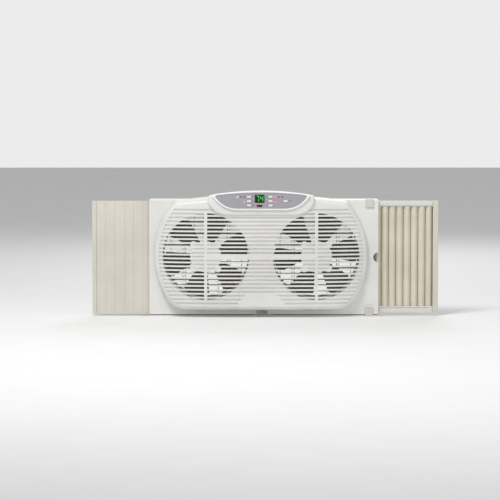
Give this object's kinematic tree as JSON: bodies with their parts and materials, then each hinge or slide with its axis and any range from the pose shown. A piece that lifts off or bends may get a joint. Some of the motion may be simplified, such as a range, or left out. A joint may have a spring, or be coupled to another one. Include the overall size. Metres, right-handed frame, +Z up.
{
  "type": "window fan",
  "caption": "Wide twin window fan: slotted convex cover with a control hood, frame and rear housing, grooved filler panel and a pleated sliding extender.",
  "frame": {"origin": "centre of the whole object's footprint, on the sill", "axes": "+Z up, +X to the right seen from the room, +Y out through the window"},
  "size_m": [0.8734, 0.1244, 0.319],
  "materials": {
    "white_plastic": "fine satin moulded ABS, off-white",
    "beige_plastic": "satin extruded PVC, warm beige-grey",
    "lock_plastic": "satin moulded plastic, warm grey",
    "rail_plastic": "satin extruded PVC, off-white",
    "curtain_vinyl": "soft pleated vinyl, cream",
    "silver_fascia": "silver-grey paint on plastic",
    "button_white": "white moulded keys",
    "smoked_lens": "dark smoked display window",
    "red_lens": "dark red infrared window",
    "light_guide": "frosted clear acrylic",
    "blade_plastic": "dark brown-grey moulded blades",
    "circuit_board": "green glass-epoxy board with its parts",
    "zinc_steel": "zinc-plated steel",
    "core_steel": "stack of steel laminations",
    "copper_winding": "varnished copper winding",
    "bronze": "sintered bronze bushes",
    "black_rubber": "black rubber and insulated wire"
  },
  "bodies": {
    "casing": {"front_cover": "white_plastic", "hood_bezel": "white_plastic", "control_fascia": "silver_fascia", "display_window": "smoked_lens", "receiver_lens": "red_lens", "control_board": "circuit_board", "power_board": "circuit_board", "light_guide_left": "light_guide", "light_guide_right": "light_guide", "front_flange": "white_plastic", "window_frame": "white_plastic", "rear_housing": "white_plastic", "housing_screw_1": "zinc_steel", "housing_screw_2": "zinc_steel", "housing_screw_3": "zinc_steel", "housing_screw_4": "zinc_steel", "motor_front_bracket_left": "zinc_steel", "motor_rear_bracket_left": "zinc_steel", "stator_core_left": "core_steel", "stator_coil_left": "copper_winding", "bearing_front_left": "bronze", "bearing_rear_left": "bronze", "motor_lead_left": "black_rubber", "motor_screw_left_1": "zinc_steel", "motor_screw_left_2": "zinc_steel", "motor_screw_left_3": "zinc_steel", "motor_screw_left_4": "zinc_steel", "motor_front_bracket_right": "zinc_steel", "motor_rear_bracket_right": "zinc_steel", "stator_core_right": "core_steel", "stator_coil_right": "copper_winding", "bearing_front_right": "bronze", "bearing_rear_right": "bronze", "motor_lead_right": "black_rubber", "motor_screw_right_1": "zinc_steel", "motor_screw_right_2": "zinc_steel", "motor_screw_right_3": "zinc_steel", "motor_screw_right_4": "zinc_steel", "curtain_strip": "curtain_vinyl", "pleated_curtain": "curtain_vinyl", "cord_grommet": "black_rubber"},
    "fan_left": {"impeller_left": "blade_plastic", "impeller_nut_left": "zinc_steel", "rotor_shaft_left": "zinc_steel"},
    "fan_right": {"impeller_right": "blade_plastic", "impeller_nut_right": "zinc_steel", "rotor_shaft_right": "zinc_steel"},
    "extender": {"top_rail": "rail_plastic", "bottom_rail": "rail_plastic", "end_bar": "beige_plastic"},
    "top_lock": {"top_lock": "lock_plastic"},
    "bottom_lock": {"bottom_lock": "lock_plastic"},
    "left_panel": {"left_panel": "beige_plastic"},
    "power_button": {"power_button": "button_white"},
    "speed_button": {"speed_button": "button_white"},
    "mode_button": {"mode_button": "button_white"},
    "warmer_button": {"warmer_button": "button_white"},
    "cooler_button": {"cooler_button": "button_white"},
    "unit_button": {"unit_button": "button_white"},
    "auto_button": {"auto_button": "button_white"}
  },
  "joints": [
    {"name": "left_fan_spin", "type": "hinge", "parent": "casing", "child": "fan_left", "pos_m": [-0.14965, 0.02765, 0.1534], "axis": [0, 1, 0], "continuous": true},
    {"name": "right_fan_spin", "type": "hinge", "parent": "casing", "child": "fan_right", "pos_m": [0.12835, 0.02765, 0.1534], "axis": [0, 1, 0], "continuous": true},
    {"name": "extender_slide", "type": "slide", "parent": "casing", "child": "extender", "axis": [1, 0, 0], "range_m": [-0.125, 0], "deforming": ["pleated_curtain"]},
    {"name": "top_lock_slide", "type": "slide", "parent": "casing", "child": "top_lock", "axis": [0, 0, 1], "range_m": [-0.0045, 0]},
    {"name": "bottom_lock_slide", "type": "slide", "parent": "casing", "child": "bottom_lock", "axis": [0, 0, 1], "range_m": [0, 0.0045]},
    {"name": "left_panel_slide", "type": "slide", "parent": "casing", "child": "left_panel", "axis": [1, 0, 0], "range_m": [-0.008, 0.012]},
    {"name": "power_button_press", "type": "slide", "parent": "casing", "child": "power_button", "axis": [0, 1, 0], "range_m": [0, 0.0012], "stiffness_N_per_m": 300, "springref_m": -0.0005},
    {"name": "speed_button_press", "type": "slide", "parent": "casing", "child": "speed_button", "axis": [0, 1, 0], "range_m": [0, 0.0012], "stiffness_N_per_m": 300, "springref_m": -0.0005},
    {"name": "mode_button_press", "type": "slide", "parent": "casing", "child": "mode_button", "axis": [0, 1, 0], "range_m": [0, 0.0012], "stiffness_N_per_m": 300, "springref_m": -0.0005},
    {"name": "warmer_button_press", "type": "slide", "parent": "casing", "child": "warmer_button", "axis": [0, 1, 0], "range_m": [0, 0.0012], "stiffness_N_per_m": 300, "springref_m": -0.0005},
    {"name": "cooler_button_press", "type": "slide", "parent": "casing", "child": "cooler_button", "axis": [0, 1, 0], "range_m": [0, 0.0012], "stiffness_N_per_m": 300, "springref_m": -0.0005},
    {"name": "unit_button_press", "type": "slide", "parent": "casing", "child": "unit_button", "axis": [0, 1, 0], "range_m": [0, 0.0012], "stiffness_N_per_m": 300, "springref_m": -0.0005},
    {"name": "auto_button_press", "type": "slide", "parent": "casing", "child": "auto_button", "axis": [0, 1, 0], "range_m": [0, 0.0012], "stiffness_N_per_m": 300, "springref_m": -0.0005}
  ]
}
